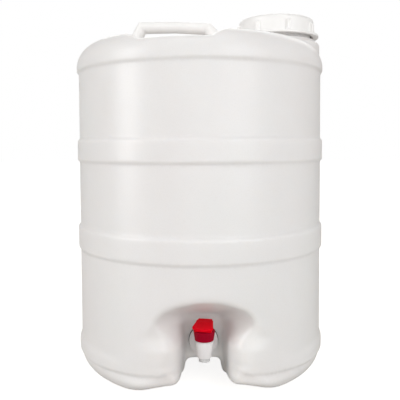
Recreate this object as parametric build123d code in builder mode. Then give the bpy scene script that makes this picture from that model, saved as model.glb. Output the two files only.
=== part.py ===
from build123d import *

import os
from math import asin, cos, degrees, radians, sin, sqrt, tan

os.makedirs("parts", exist_ok=True)

# All sizes are millimetres. The origin is on the floor under the middle of the barrel, +Z is up,
# the tap faces -Y and the filling neck is on the +X side.

# ---- Vessel: main form ----
WALL = 2.6
BODY_R = 150.0
BAND_R = 152.5
BANDS = [(24.0, 43.0), (151.8, 178.9), (256.8, 282.2)]
BAND_OUTER_FILLET = 1.6
CORNER_WIDTH = 37.0
CORNER_HEIGHT = 28.0
SHOULDER_LINE_Z = 362.0
SHOULDER_R = 33.0
DOME_TOP = 408.5
DOME_R = 700.0

# ---- Vessel: neck ----
NECK_X = 97.5
BOSS_R = 54.0
BOSS_BASE_Z = 345.0
BOSS_TOP_Z = 402.5
STEP_R = 49.3
STEP_TOP_Z = 405.0
NECK_R = 42.7
NECK_TOP_Z = 428.2

# ---- Screw thread of the neck and the cap ----
THREAD_LEAD = 12.0
THREAD_STARTS = 2
THREAD_TURNS = 0.75
THREAD_ROOT_WIDTH = 2.6
THREAD_CREST_WIDTH = 1.4
THREAD_DEPTH = 1.7
THREAD_BITE = 0.5
NECK_THREAD_Z = 412.6
CAP_THREAD_DROP = 2.6

# ---- Vessel: groove under the handle ----
GROOVE_FLOOR_Z = 388.0
GROOVE_LEFT_X = -70.0
GROOVE_RIGHT_X = 8.0
GROOVE_LEFT_SLOPE = 56.0
GROOVE_RIGHT_SLOPE = 43.0
GROOVE_TOOL_TOP = 413.0
GROOVE_FILLET = 7.0

# ---- Vessel: recess for the tap ----
RECESS_BACK_Y = 86.0
RECESS_HALF_WIDTH = 21.5
RECESS_TOP_Z = 84.0
RECESS_CORNER = 13.0
RECESS_MOUTH_Y = 165.0
RECESS_MOUTH_CORNER = 50.0
RECESS_SPREAD = 0.75
RECESS_RISE = 0.47

# ---- Vessel: channel between the feet ----
CHANNEL_TOP_Z = 31.0
CHANNEL_TOP_HALF = 19.5
CHANNEL_SIDE_HALF = 22.5
CHANNEL_FLARE_R = 11.0
CHANNEL_CORNER = 5.0
TOOL_RUNOUT = 10.0
TOOL_REACH = 170.0

# ---- Handle ----
HANDLE_WIDTH = 26.0
HANDLE_EDGE_FILLET = 5.0
HANDLE_BEND_FILLET = 7.0
HANDLE_UNDER_FILLET = 9.0
HANDLE_OUTLINE = [
    (-94.0, 398.0),
    (-76.0, 429.5),
    (-31.0, 430.3),
    (14.5, 428.5),
    (41.0, 401.0),
    (14.0, 398.0),
    (6.5, 415.6),
    (-31.0, 417.2),
    (-68.5, 416.4),
    (-75.5, 398.0),
]
HANDLE_UPPER_Z = (427.0, 431.0)
HANDLE_LOWER_Z = (415.0, 418.0)
PEG_X = (-83.0, 29.0)
PEG_TOP_Z = 406.0
PEG_FOOT_Z = 394.0
PEG_SIZE = (6.0, 14.0)
PEG_CLEARANCE = 0.15

# ---- Screw cap ----
CAP_BOTTOM_Z = 409.0
CAP_TOP_Z = 432.5
CAP_R = 47.0
CAP_INNER_R = 45.1
CAP_TOP_THICKNESS = 2.2
CAP_TOP_FILLET = 4.5
CAP_FLANGE_R = 53.0
CAP_FLANGE_HEIGHT = 3.0
CAP_RIB_COUNT = 8
CAP_RIB_TURN = -82.0
CAP_RIB_R = 51.0
CAP_RIB_WIDTH = 4.6
CAP_RIB_TOP_Z = 425.5
LINER_INNER_R = 36.7
LINER_OUTER_R = 44.7
LINER_GAP = 0.05

# ---- Vent bung ----
BUNG_HOLE_R = 8.0
BUNG_R = 7.9
BUNG_TIP_R = 7.0
BUNG_TIP_Z = 424.5
BUNG_HEAD_R = 10.7
BUNG_TOP_Z = 440.0
BUNG_FILLET = 1.5
BUNG_CORE_R = 5.0

# ---- Tap: shank side, along Y ----
TAP_Z = 54.0
TAP_Y = -112.0
WALL_HOLE_R = 12.5
SHANK_R = 12.1
SHANK_ROOT_R = 11.5
SHANK_END_Y = -68.0
SHANK_GROOVE_PITCH = 2.5
SHANK_GROOVE_COUNT = 6
SHANK_GROOVE_REACH = 1.0
INLET_R = 4.6
FLANGE_R = 16.2
FLANGE_THICKNESS = 2.8
GASKET_R = 16.7
GASKET_THICKNESS = 2.0
BACK_NUT_R = 18.0
BACK_NUT_THICKNESS = 8.0
BACK_NUT_LOBES = 6
BACK_NUT_LOBE_R = 4.0
BACK_NUT_ROOT_R = 16.0
BACK_NUT_CLEARANCE = 0.1
ARM_R = 8.0

# ---- Tap: upright side ----
BARREL_TOP_R = 10.2
BARREL_TOP_Z = 61.5
BARREL_FOOT_R = 7.6
BARREL_FOOT_Z = 43.0
BARREL_FOOT_FILLET = 1.2
SPIGOT_R = 9.2
SPIGOT_TOP_Z = 69.6
CHAMBER_R = 6.9
CHAMBER_FLOOR_Z = 48.0
OUTLET_R = 4.2
NOZZLE_R = 6.2
NOZZLE_SPIGOT_R = 5.6
NOZZLE_FOOT_Z = 39.2
NOZZLE_TOP_Z = 45.4

# ---- Tap: bonnet ----
BONNET_BOTTOM_Z = 62.4
BONNET_TOP_Z = 73.4
BONNET_BOTTOM_R = 10.4
BONNET_TOP_R = 12.0
BONNET_ROOF = 2.2
BONNET_BORE_R = 9.4
BONNET_HOLE_R = 3.1
BONNET_FLUTES = 24
BONNET_FLUTE_R = 0.55
BONNET_FLUTE_TOP_Z = 71.4
BONNET_FILLET = 0.8

# ---- Tap: seal, spring and stem ----
SEAL_RIM_R = 9.1
SEAL_RIM_THICKNESS = 1.55
SEAL_BELL_R = 6.4
SEAL_WALL = 0.9
SEAL_TIP_R = 4.8
SEAL_SEAT_Z = 48.0
SEAL_FLOOR_Z = 50.0
SEAL_BELL_Z = 51.0
SEAL_BELL_INNER_Z = 51.5
STEM_R = 2.4
STEM_FOOT_Z = 50.1
STEM_COLLAR_R = 4.9
STEM_COLLAR_Z = 58.0
STEM_COLLAR_THICKNESS = 1.2
STEM_EYE_WIDTH = 5.6
STEM_EYE_R = 2.8
SPRING_WIRE_R = 0.4
SPRING_COIL_R = 4.0
SPRING_TURNS = 5
SPRING_CLEARANCE = 0.05
WASHER_R = 5.0
WASHER_BORE_R = 2.6
WASHER_THICKNESS = 0.8

# ---- Tap: lever ----
LEVER_TURN = -12.0
PIN_Z = 76.8
PIN_R = 1.5
PIN_LENGTH = 18.0
PIN_EYE_CLEARANCE = 0.06
PIN_HOLE_CLEARANCE = 0.02
CHEEK_BOTTOM_Z = 73.7
CHEEK_GAP = 6.2
SLOT_R = 3.1
SLOT_FOOT_HALF = 6.2
CHEEK_WIDTH = 18.6
CHEEK_FRONT = 9.6
CHEEK_BACK = 6.0
CHEEK_FRONT_CORNER = 2.0
PADDLE_BACK = 8.6
PADDLE_FRONT = 14.4
PADDLE_BACK_HALF = 7.4
PADDLE_FRONT_HALF = 11.4
PADDLE_BACK_Z = 83.2
PADDLE_FRONT_Z = 78.4
PADDLE_THICKNESS = 2.3
PADDLE_BULGE_Y = 10.0
PADDLE_CORNER_RUN = 4.0
PADDLE_CORNER_STEP = 0.6
LEVER_SPACE = 20.0
LEVER_SPACE_TOP = 90.0
LEVER_SPACE_FOOT = 70.0
LEVER_SIDE_SPACE = 10.0


# ======================= Shared forms =======================


def half_section(inset):
    """Half of the vessel's upright section, drawn inset millimetres inside its outer skin."""
    shoulder_x = BAND_R - SHOULDER_R
    dome_centre_z = DOME_TOP - DOME_R
    shoulder_z = dome_centre_z + sqrt((DOME_R - SHOULDER_R) ** 2 - shoulder_x**2)
    lean = degrees(asin(shoulder_x / (DOME_R - SHOULDER_R)))
    foot_x = BODY_R - CORNER_WIDTH
    ledge_z = SHOULDER_LINE_Z + inset
    with BuildSketch(Plane.XZ) as section:
        with BuildLine():
            Line((0, inset), (foot_x, inset))
            corner = EllipticalCenterArc(
                (foot_x, CORNER_HEIGHT),
                CORNER_WIDTH - inset,
                CORNER_HEIGHT - inset,
                start_angle=270,
                arc_size=90,
            )
            side = Line(corner @ 1, (BODY_R - inset, ledge_z))
            ledge = Line(side @ 1, (BAND_R - inset, ledge_z))
            Line(ledge @ 1, (BAND_R - inset, shoulder_z))
            CenterArc((shoulder_x, shoulder_z), SHOULDER_R - inset, 0, 90 - lean)
            dome = CenterArc((0, dome_centre_z), DOME_R - inset, 90 - lean, lean)
            Line(dome @ 1, (0, inset))
        make_face()
        for low, high in BANDS:
            with Locations((BODY_R - inset, (low + high) / 2)):
                Rectangle(2 * (BAND_R - BODY_R), high - low - 2 * inset)
        crowns = section.vertices().filter_by_position(
            Axis.X, BAND_R - inset - 0.01, BAND_R - inset + 0.01
        )
        if inset == 0:
            fillet(crowns.filter_by_position(Axis.Y, 0, SHOULDER_LINE_Z + 1), BAND_OUTER_FILLET)
    return section.sketch


def groove_tool(extra):
    """The space of the handle's groove, grown by extra."""
    height = GROOVE_TOOL_TOP - GROOVE_FLOOR_Z
    left_top = GROOVE_LEFT_X - height / tan(radians(GROOVE_LEFT_SLOPE))
    right_top = GROOVE_RIGHT_X + height / tan(radians(GROOVE_RIGHT_SLOPE))
    with BuildPart() as tool:
        with BuildSketch(Plane.XZ) as profile:
            with BuildLine():
                Polyline(
                    (GROOVE_LEFT_X, GROOVE_FLOOR_Z),
                    (GROOVE_RIGHT_X, GROOVE_FLOOR_Z),
                    (right_top, GROOVE_TOOL_TOP),
                    (left_top, GROOVE_TOOL_TOP),
                    close=True,
                )
            make_face()
            fillet(profile.vertices().group_by(Axis.Y)[0], GROOVE_FILLET)
            if extra:
                offset(amount=extra)
        extrude(amount=TOOL_REACH, both=True)
    return tool.part


def recess_tool(extra):
    """The space in front of the tap, which widens and rises towards the front, grown by extra."""
    widen = extra * sqrt(1 + RECESS_SPREAD**2)
    raise_by = extra * sqrt(1 + RECESS_RISE**2)
    with BuildPart() as tool:
        for plane_y, corner in (
            (RECESS_BACK_Y - extra, RECESS_CORNER + extra),
            (RECESS_MOUTH_Y, RECESS_MOUTH_CORNER + extra),
        ):
            run = plane_y - RECESS_BACK_Y
            half = RECESS_HALF_WIDTH + RECESS_SPREAD * run + widen
            top = RECESS_TOP_Z + RECESS_RISE * run + raise_by
            with BuildSketch(Plane.XZ.offset(plane_y)) as arch:
                with Locations((0, (top - TOOL_RUNOUT) / 2)):
                    Rectangle(2 * half, top + TOOL_RUNOUT)
                fillet(arch.vertices().group_by(Axis.Y)[-1], corner)
        loft()
    return tool.part


def channel_tool(extra):
    """The space between the two feet, which runs from front to back, grown by extra."""
    flare_x = CHANNEL_SIDE_HALF + CHANNEL_FLARE_R
    with BuildPart() as tool:
        with BuildSketch(Plane.XZ) as profile:
            with BuildLine():
                foot = Line((flare_x, -TOOL_RUNOUT), (flare_x, 0))
                flare = CenterArc((flare_x, CHANNEL_FLARE_R), CHANNEL_FLARE_R, 270, -90)
                Polyline(
                    flare @ 1,
                    (CHANNEL_TOP_HALF, CHANNEL_TOP_Z),
                    (0, CHANNEL_TOP_Z),
                    (0, -TOOL_RUNOUT),
                    foot @ 0,
                )
            make_face()
            mirror(about=Plane.YZ)
            fillet(profile.vertices().group_by(Axis.Y)[-1], CHANNEL_CORNER)
            if extra:
                offset(amount=extra)
        extrude(amount=TOOL_REACH, both=True)
    return tool.part


def thread(root_r, crest_r, start_z, turn):
    """One thread ridge on the neck's axis. The crest may lie outside or inside the root."""
    height = THREAD_LEAD * THREAD_TURNS
    bite = THREAD_BITE if crest_r < root_r else -THREAD_BITE
    with BuildPart() as ridge:
        with BuildLine() as path:
            Helix(THREAD_LEAD, height, root_r)
        section_plane = Plane(origin=path.line @ 0, x_dir=(1, 0, 0), z_dir=path.line % 0)
        with BuildSketch(section_plane) as section:
            with BuildLine():
                Polyline(
                    (bite, -THREAD_ROOT_WIDTH / 2),
                    (0, -THREAD_ROOT_WIDTH / 2),
                    (crest_r - root_r, -THREAD_CREST_WIDTH / 2),
                    (crest_r - root_r, THREAD_CREST_WIDTH / 2),
                    (0, THREAD_ROOT_WIDTH / 2),
                    (bite, THREAD_ROOT_WIDTH / 2),
                    close=True,
                )
            make_face()
        sweep(path=path.line, is_frenet=True)
    return Pos(NECK_X, 0, start_z) * Rot(0, 0, turn) * ridge.part


# ======================= Vessel =======================

with BuildPart() as outer_form:
    add(half_section(0))
    revolve(axis=Axis.Z)
    with BuildSketch(Plane.XY.offset(BOSS_BASE_Z)):
        with Locations((NECK_X, 0)):
            Circle(BOSS_R)
    extrude(amount=BOSS_TOP_Z - BOSS_BASE_Z)
    with BuildSketch(Plane.XY.offset(BOSS_BASE_Z)):
        with Locations((NECK_X, 0)):
            Circle(STEP_R)
    extrude(amount=STEP_TOP_Z - BOSS_BASE_Z)
    with BuildSketch(Plane.XY.offset(BOSS_BASE_Z)):
        with Locations((NECK_X, 0)):
            Circle(NECK_R)
    extrude(amount=NECK_TOP_Z - BOSS_BASE_Z)
    add(groove_tool(0), mode=Mode.SUBTRACT)
    add(recess_tool(0), mode=Mode.SUBTRACT)
    add(channel_tool(0), mode=Mode.SUBTRACT)

with BuildPart() as cavity:
    add(half_section(WALL))
    revolve(axis=Axis.Z)
    with BuildSketch(Plane.XY.offset(BOSS_BASE_Z)):
        with Locations((NECK_X, 0)):
            Circle(BOSS_R - WALL)
    extrude(amount=BOSS_TOP_Z - WALL - BOSS_BASE_Z)
    add(groove_tool(WALL), mode=Mode.SUBTRACT)
    add(recess_tool(WALL), mode=Mode.SUBTRACT)
    add(channel_tool(WALL), mode=Mode.SUBTRACT)
    for peg_x in PEG_X:
        with BuildSketch(Plane.XY.offset(PEG_FOOT_Z - WALL)):
            with Locations((peg_x, 0)):
                Rectangle(PEG_SIZE[0] + 2 * WALL, PEG_SIZE[1] + 2 * WALL)
        extrude(amount=DOME_TOP - PEG_FOOT_Z, mode=Mode.SUBTRACT)
    with BuildSketch(Plane.XY.offset(BOSS_BASE_Z)):
        with Locations((NECK_X, 0)):
            Circle(NECK_R - WALL)
    extrude(amount=NECK_TOP_Z + TOOL_RUNOUT - BOSS_BASE_Z)

with BuildPart() as vessel:
    add(outer_form.part)
    for start in range(THREAD_STARTS):
        add(thread(NECK_R, NECK_R + THREAD_DEPTH, NECK_THREAD_Z, start * 360 / THREAD_STARTS))
    add(cavity.part, mode=Mode.SUBTRACT)
    for peg_x in PEG_X:
        with BuildSketch(Plane.XY.offset(PEG_FOOT_Z - PEG_CLEARANCE)):
            with Locations((peg_x, 0)):
                Rectangle(PEG_SIZE[0] + 2 * PEG_CLEARANCE, PEG_SIZE[1] + 2 * PEG_CLEARANCE)
        extrude(amount=DOME_TOP - PEG_FOOT_Z, mode=Mode.SUBTRACT)
    with BuildSketch(Plane.XZ.offset(RECESS_BACK_Y - 2 * WALL)):
        with Locations((0, TAP_Z)):
            Circle(WALL_HOLE_R)
    extrude(amount=3 * WALL, mode=Mode.SUBTRACT)
vessel.part.label = "vessel"
export_step(vessel.part, "parts/vessel.step")

# ======================= Handle =======================

with BuildPart() as handle:
    with BuildSketch(Plane.XZ) as strap:
        with BuildLine():
            Polyline(*HANDLE_OUTLINE, close=True)
        make_face()
        upper = strap.vertices().filter_by_position(Axis.Y, *HANDLE_UPPER_Z)
        fillet(upper, HANDLE_BEND_FILLET)
        lower = strap.vertices().filter_by_position(Axis.Y, *HANDLE_LOWER_Z)
        fillet(lower, HANDLE_UNDER_FILLET)
    extrude(amount=HANDLE_WIDTH / 2, both=True)
    fillet(handle.edges().filter_by(Axis.Y, reverse=True), HANDLE_EDGE_FILLET)
    add(outer_form.part, mode=Mode.SUBTRACT)
    for peg_x in PEG_X:
        with BuildSketch(Plane.XY.offset(PEG_FOOT_Z)):
            with Locations((peg_x, 0)):
                Rectangle(*PEG_SIZE)
        extrude(amount=PEG_TOP_Z - PEG_FOOT_Z)
handle.part.label = "handle"
export_step(handle.part, "parts/handle.step")

# ======================= Screw cap, liner and bung =======================

with BuildPart() as screw_cap:
    with BuildSketch(Plane.XY.offset(CAP_BOTTOM_Z)):
        with Locations((NECK_X, 0)):
            Circle(CAP_R)
    extrude(amount=CAP_TOP_Z - CAP_BOTTOM_Z)
    fillet(screw_cap.edges().group_by(Axis.Z)[-1], CAP_TOP_FILLET)
    with BuildSketch(Plane.XY.offset(CAP_BOTTOM_Z)):
        with Locations((NECK_X, 0)):
            Circle(CAP_FLANGE_R)
    extrude(amount=CAP_FLANGE_HEIGHT)
    with BuildSketch(Plane.XY.offset(CAP_BOTTOM_Z)):
        with Locations((NECK_X, 0)):
            with PolarLocations(CAP_R, CAP_RIB_COUNT, CAP_RIB_TURN):
                Rectangle(2 * (CAP_RIB_R - CAP_R), CAP_RIB_WIDTH)
    extrude(amount=CAP_RIB_TOP_Z - CAP_BOTTOM_Z)
    with BuildSketch(Plane.XY.offset(CAP_BOTTOM_Z)):
        with Locations((NECK_X, 0)):
            Circle(CAP_INNER_R)
    extrude(amount=CAP_TOP_Z - CAP_TOP_THICKNESS - CAP_BOTTOM_Z, mode=Mode.SUBTRACT)
    with BuildSketch(Plane.XY.offset(CAP_BOTTOM_Z)):
        with Locations((NECK_X, 0)):
            Circle(BUNG_HOLE_R)
    extrude(amount=CAP_TOP_Z - CAP_BOTTOM_Z, mode=Mode.SUBTRACT)
    for start in range(THREAD_STARTS):
        add(
            thread(
                CAP_INNER_R,
                CAP_INNER_R - THREAD_DEPTH,
                NECK_THREAD_Z - CAP_THREAD_DROP,
                start * 360 / THREAD_STARTS,
            )
        )
screw_cap.part.label = "screw_cap"
export_step(screw_cap.part, "parts/screw_cap.step")

liner_top = CAP_TOP_Z - CAP_TOP_THICKNESS - LINER_GAP
with BuildPart() as cap_liner:
    with BuildSketch(Plane.XY.offset(NECK_TOP_Z + LINER_GAP)):
        with Locations((NECK_X, 0)):
            Circle(LINER_OUTER_R)
            Circle(LINER_INNER_R, mode=Mode.SUBTRACT)
    extrude(amount=liner_top - NECK_TOP_Z - LINER_GAP)
cap_liner.part.label = "cap_liner"
export_step(cap_liner.part, "parts/cap_liner.step")

with BuildPart() as vent_bung:
    with BuildSketch(Plane.XZ) as bung_section:
        with BuildLine():
            Polyline(
                (0, BUNG_TIP_Z),
                (BUNG_TIP_R, BUNG_TIP_Z),
                (BUNG_R, CAP_TOP_Z - CAP_TOP_THICKNESS),
                (BUNG_R, CAP_TOP_Z + LINER_GAP),
                (BUNG_HEAD_R, CAP_TOP_Z + LINER_GAP),
                (BUNG_HEAD_R, BUNG_TOP_Z),
                (0, BUNG_TOP_Z),
                close=True,
            )
        make_face()
        head_corner = bung_section.vertices().group_by(Axis.Y)[-1].sort_by(Axis.X)[-1]
        fillet(head_corner, BUNG_FILLET)
        with Locations((0, BUNG_TIP_Z)):
            Rectangle(2 * BUNG_CORE_R, 2 * (CAP_TOP_Z - BUNG_TIP_Z), mode=Mode.SUBTRACT)
    revolve(axis=Axis.Z)
vent_bung.part = Pos(NECK_X, 0, 0) * vent_bung.part
vent_bung.part.label = "vent_bung"
export_step(vent_bung.part, "parts/vent_bung.step")

# ======================= Tap: shank side =======================

flange_back = RECESS_BACK_Y + GASKET_THICKNESS
shank_plane = Plane.XZ.offset(flange_back)
chamber_height = SPIGOT_TOP_Z - CHAMBER_FLOOR_Z

with BuildPart() as tap_body:
    with BuildSketch(Plane.XZ.offset(-SHANK_END_Y)):
        with Locations((0, TAP_Z)):
            Circle(SHANK_R)
    extrude(amount=flange_back + SHANK_END_Y)
    for ring in range(SHANK_GROOVE_COUNT):
        with BuildSketch(Plane.XZ.offset(-SHANK_END_Y + (ring + 0.5) * SHANK_GROOVE_PITCH)):
            with Locations((0, TAP_Z)):
                Circle(SHANK_R + SHANK_GROOVE_REACH)
                Circle(SHANK_ROOT_R, mode=Mode.SUBTRACT)
        extrude(amount=SHANK_GROOVE_PITCH / 2, mode=Mode.SUBTRACT)
    with BuildSketch(shank_plane):
        with Locations((0, TAP_Z)):
            Circle(FLANGE_R)
    extrude(amount=FLANGE_THICKNESS)
    with BuildSketch(shank_plane):
        with Locations((0, TAP_Z)):
            Circle(ARM_R)
    extrude(amount=-TAP_Y - flange_back)
    with BuildSketch(Plane.XZ) as barrel_section:
        with BuildLine():
            Polyline(
                (0, BARREL_FOOT_Z),
                (BARREL_FOOT_R, BARREL_FOOT_Z),
                (BARREL_TOP_R, BARREL_TOP_Z),
                (SPIGOT_R, BARREL_TOP_Z),
                (SPIGOT_R, SPIGOT_TOP_Z),
                (0, SPIGOT_TOP_Z),
                close=True,
            )
        make_face()
        foot_corner = barrel_section.vertices().group_by(Axis.Y)[0].sort_by(Axis.X)[-1]
        fillet(foot_corner, BARREL_FOOT_FILLET)
    barrel = revolve(axis=Axis.Z, mode=Mode.PRIVATE)
    add(Pos(0, TAP_Y, 0) * barrel)
    with BuildSketch(Plane.XY.offset(CHAMBER_FLOOR_Z)):
        with Locations((0, TAP_Y)):
            Circle(CHAMBER_R)
    extrude(amount=chamber_height, mode=Mode.SUBTRACT)
    with BuildSketch(Plane.XY.offset(BARREL_FOOT_Z)):
        with Locations((0, TAP_Y)):
            Circle(OUTLET_R)
    extrude(amount=chamber_height, mode=Mode.SUBTRACT)
    with BuildSketch(Plane.XY.offset(BARREL_FOOT_Z)):
        with Locations((0, TAP_Y)):
            Circle(NOZZLE_SPIGOT_R)
    extrude(amount=NOZZLE_TOP_Z - BARREL_FOOT_Z, mode=Mode.SUBTRACT)
    with BuildSketch(Plane.XZ.offset(-SHANK_END_Y)):
        with Locations((0, TAP_Z)):
            Circle(INLET_R)
    extrude(amount=-TAP_Y + SHANK_END_Y, mode=Mode.SUBTRACT)
tap_body.part.label = "tap_body"
export_step(tap_body.part, "parts/tap_body.step")


def wall_ring(outer_r, inner_r, front_y, thickness):
    """A flat ring round the tap's shank whose front face is front_y in front of the vessel's axis."""
    with BuildPart() as ring:
        with BuildSketch(Plane.XZ.offset(front_y - thickness)):
            with Locations((0, TAP_Z)):
                Circle(outer_r)
                Circle(inner_r, mode=Mode.SUBTRACT)
        extrude(amount=thickness)
    return ring.part


inner_face = RECESS_BACK_Y - WALL
tap_gasket = wall_ring(GASKET_R, WALL_HOLE_R, flange_back, GASKET_THICKNESS)
tap_gasket.label = "tap_gasket"
export_step(tap_gasket, "parts/tap_gasket.step")

tap_inner_washer = wall_ring(GASKET_R, WALL_HOLE_R, inner_face, GASKET_THICKNESS)
tap_inner_washer.label = "tap_inner_washer"
export_step(tap_inner_washer, "parts/tap_inner_washer.step")

nut_face = inner_face - GASKET_THICKNESS
with BuildPart() as tap_back_nut:
    with BuildSketch(Plane.XZ.offset(nut_face - BACK_NUT_THICKNESS)):
        with Locations((0, TAP_Z)):
            Circle(BACK_NUT_ROOT_R)
            with PolarLocations(BACK_NUT_R - BACK_NUT_LOBE_R, BACK_NUT_LOBES):
                Circle(BACK_NUT_LOBE_R)
            Circle(SHANK_R + BACK_NUT_CLEARANCE, mode=Mode.SUBTRACT)
    extrude(amount=BACK_NUT_THICKNESS)
tap_back_nut.part.label = "tap_back_nut"
export_step(tap_back_nut.part, "parts/tap_back_nut.step")

# ======================= Tap: bonnet, seal, spring, stem =======================

with BuildPart() as tap_bonnet:
    with BuildSketch(Plane.XZ) as bonnet_section:
        with BuildLine():
            Polyline(
                (0, BONNET_BOTTOM_Z),
                (BONNET_BOTTOM_R, BONNET_BOTTOM_Z),
                (BONNET_TOP_R, BONNET_TOP_Z),
                (0, BONNET_TOP_Z),
                close=True,
            )
        make_face()
        rims = bonnet_section.vertices().filter_by_position(Axis.X, BONNET_HOLE_R, BONNET_TOP_R)
        fillet(rims, BONNET_FILLET)
    shell = revolve(axis=Axis.Z, mode=Mode.PRIVATE)
    add(Pos(0, TAP_Y, 0) * shell)
    with BuildSketch(Plane.XY.offset(BONNET_BOTTOM_Z)):
        with Locations((0, TAP_Y)):
            with PolarLocations(BONNET_TOP_R, BONNET_FLUTES):
                Circle(BONNET_FLUTE_R)
    extrude(amount=BONNET_FLUTE_TOP_Z - BONNET_BOTTOM_Z, mode=Mode.SUBTRACT)
    with BuildSketch(Plane.XY.offset(BONNET_BOTTOM_Z)):
        with Locations((0, TAP_Y)):
            Circle(BONNET_BORE_R)
    extrude(amount=BONNET_TOP_Z - BONNET_ROOF - BONNET_BOTTOM_Z, mode=Mode.SUBTRACT)
    with BuildSketch(Plane.XY.offset(BONNET_BOTTOM_Z)):
        with Locations((0, TAP_Y)):
            Circle(BONNET_HOLE_R)
    extrude(amount=BONNET_TOP_Z - BONNET_BOTTOM_Z, mode=Mode.SUBTRACT)
tap_bonnet.part.label = "tap_bonnet"
export_step(tap_bonnet.part, "parts/tap_bonnet.step")

bonnet_ceiling = BONNET_TOP_Z - BONNET_ROOF
rim_top = SPIGOT_TOP_Z + SEAL_RIM_THICKNESS
with BuildPart() as tap_seal_cup:
    with BuildSketch(Plane.XZ):
        with BuildLine():
            Polyline(
                (0, SEAL_SEAT_Z),
                (SEAL_TIP_R, SEAL_SEAT_Z),
                (SEAL_BELL_R, SEAL_BELL_Z),
                (SEAL_BELL_R, SPIGOT_TOP_Z),
                (SEAL_RIM_R, SPIGOT_TOP_Z),
                (SEAL_RIM_R, rim_top),
                (SEAL_BELL_R - SEAL_WALL, rim_top),
                (SEAL_BELL_R - SEAL_WALL, SEAL_BELL_INNER_Z),
                (SEAL_TIP_R - SEAL_WALL, SEAL_FLOOR_Z),
                (0, SEAL_FLOOR_Z),
                close=True,
            )
        make_face()
    cup = revolve(axis=Axis.Z, mode=Mode.PRIVATE)
    add(Pos(0, TAP_Y, 0) * cup)
tap_seal_cup.part.label = "tap_seal_cup"
export_step(tap_seal_cup.part, "parts/tap_seal_cup.step")

washer_top = bonnet_ceiling - SPRING_CLEARANCE
with BuildPart() as tap_spring_washer:
    with BuildSketch(Plane.XY.offset(washer_top - WASHER_THICKNESS)):
        with Locations((0, TAP_Y)):
            Circle(WASHER_R)
            Circle(WASHER_BORE_R, mode=Mode.SUBTRACT)
    extrude(amount=WASHER_THICKNESS)
tap_spring_washer.part.label = "tap_spring_washer"
export_step(tap_spring_washer.part, "parts/tap_spring_washer.step")

lever_plane = Plane(
    origin=(0, TAP_Y, 0),
    x_dir=(cos(radians(LEVER_TURN)), sin(radians(LEVER_TURN)), 0),
    z_dir=(0, 0, 1),
)
lever_side = Plane(origin=lever_plane.origin, x_dir=-lever_plane.y_dir, z_dir=-lever_plane.x_dir)

with BuildPart() as tap_stem:
    with BuildSketch(lever_plane.offset(STEM_FOOT_Z)):
        Circle(STEM_R)
    extrude(amount=PIN_Z - STEM_FOOT_Z)
    with BuildSketch(lever_plane.offset(STEM_COLLAR_Z)):
        Circle(STEM_COLLAR_R)
    extrude(amount=STEM_COLLAR_THICKNESS)
    with BuildSketch(lever_side):
        with Locations((0, PIN_Z)):
            Circle(STEM_EYE_R)
    extrude(amount=STEM_EYE_WIDTH / 2, both=True)
    with BuildSketch(lever_side):
        with Locations((0, PIN_Z)):
            Circle(PIN_R + PIN_EYE_CLEARANCE)
    extrude(amount=STEM_EYE_WIDTH, both=True, mode=Mode.SUBTRACT)
tap_stem.part.label = "tap_stem"
export_step(tap_stem.part, "parts/tap_stem.step")

spring_low = STEM_COLLAR_Z + STEM_COLLAR_THICKNESS + SPRING_CLEARANCE + SPRING_WIRE_R
spring_high = washer_top - WASHER_THICKNESS - SPRING_CLEARANCE - SPRING_WIRE_R
with BuildPart() as spring_form:
    with BuildLine() as coil:
        Helix((spring_high - spring_low) / SPRING_TURNS, spring_high - spring_low, SPRING_COIL_R)
    with BuildSketch(Plane(origin=coil.line @ 0, z_dir=coil.line % 0)):
        Circle(SPRING_WIRE_R)
    sweep(path=coil.line, is_frenet=True)
tap_spring = Pos(0, TAP_Y, spring_low) * spring_form.part
tap_spring.label = "tap_spring"
export_step(tap_spring, "parts/tap_spring.step")

with BuildPart() as tap_nozzle:
    with BuildSketch(Plane.XY.offset(NOZZLE_FOOT_Z)):
        with Locations((0, TAP_Y)):
            Circle(NOZZLE_R)
    extrude(amount=BARREL_FOOT_Z - NOZZLE_FOOT_Z)
    with BuildSketch(Plane.XY.offset(BARREL_FOOT_Z)):
        with Locations((0, TAP_Y)):
            Circle(NOZZLE_SPIGOT_R)
    extrude(amount=NOZZLE_TOP_Z - BARREL_FOOT_Z)
    with BuildSketch(Plane.XY.offset(NOZZLE_FOOT_Z)):
        with Locations((0, TAP_Y)):
            Circle(OUTLET_R)
    extrude(amount=NOZZLE_TOP_Z - NOZZLE_FOOT_Z, mode=Mode.SUBTRACT)
tap_nozzle.part.label = "tap_nozzle"
export_step(tap_nozzle.part, "parts/tap_nozzle.step")

# ======================= Tap: lever and pin =======================


def paddle_top(forward):
    """Height of the paddle's sloping top at a distance in front of the pin."""
    slope = (PADDLE_BACK_Z - PADDLE_FRONT_Z) / (PADDLE_BACK + PADDLE_FRONT)
    return PADDLE_BACK_Z - slope * (forward + PADDLE_BACK)


def under_paddle(low_x, high_x):
    """The space below the paddle between two distances in front of the pin."""
    with BuildSketch() as space:
        with BuildLine():
            Polyline(
                (low_x, LEVER_SPACE_FOOT),
                (high_x, LEVER_SPACE_FOOT),
                (high_x, paddle_top(high_x) - PADDLE_THICKNESS),
                (low_x, paddle_top(low_x) - PADDLE_THICKNESS),
                close=True,
            )
        make_face()
    return space.sketch


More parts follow.
